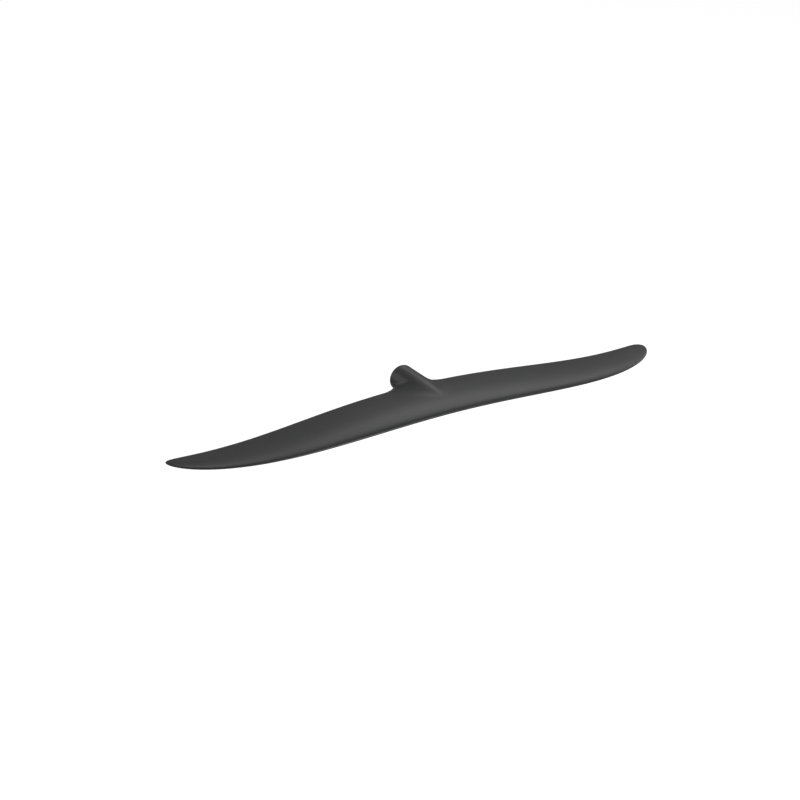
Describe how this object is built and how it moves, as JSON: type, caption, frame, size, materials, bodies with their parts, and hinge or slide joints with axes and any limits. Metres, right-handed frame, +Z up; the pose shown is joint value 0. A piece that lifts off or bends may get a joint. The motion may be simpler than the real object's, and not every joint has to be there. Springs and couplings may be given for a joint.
{
  "type": "hydrofoil front wing",
  "caption": "Slender moulded hydrofoil front wing with drooped tips and a round rear stub that takes the fuselage in a keyed socket, bolted from below.",
  "frame": {"origin": "centre of the stub's flat rear face, on the axis of the fuselage socket", "axes": "+Y backwards out of the fuselage socket, so the leading edge faces -Y; +X along the span to the rider's left tip; +Z up, towards the suction side"},
  "size_m": [0.8992, 0.175, 0.0447],
  "materials": {
    "carbon_skin": "matt dark grey carbon fibre laminate",
    "carbon_spar": "unidirectional carbon fibre, peel-ply surface",
    "foam": "closed-cell structural foam",
    "filler": "epoxy filled with glass bubbles",
    "root_laminate": "compression moulded chopped carbon",
    "anodised_aluminium": "satin hard anodised",
    "glass_fibre": "glass fibre and epoxy",
    "stainless_steel": "turned stainless steel"
  },
  "bodies": {
    "root": {"front_bolt_bush": "stainless_steel", "front_core_left": "foam", "front_core_right": "foam", "isolation_sleeve": "glass_fibre", "leading_edge_strip_left": "filler", "leading_edge_strip_right": "filler", "lower_skin": "carbon_skin", "lower_spar_cap": "carbon_spar", "rear_bolt_bush": "stainless_steel", "rear_core_left": "foam", "rear_core_right": "foam", "root_block": "root_laminate", "shear_web": "carbon_spar", "socket_end_cap": "anodised_aluminium", "socket_sleeve": "anodised_aluminium", "tip_block_left": "filler", "tip_block_right": "filler", "trailing_edge_strip_left": "filler", "trailing_edge_strip_right": "filler", "upper_skin": "carbon_skin", "upper_spar_cap": "carbon_spar"}
  },
  "joints": []
}
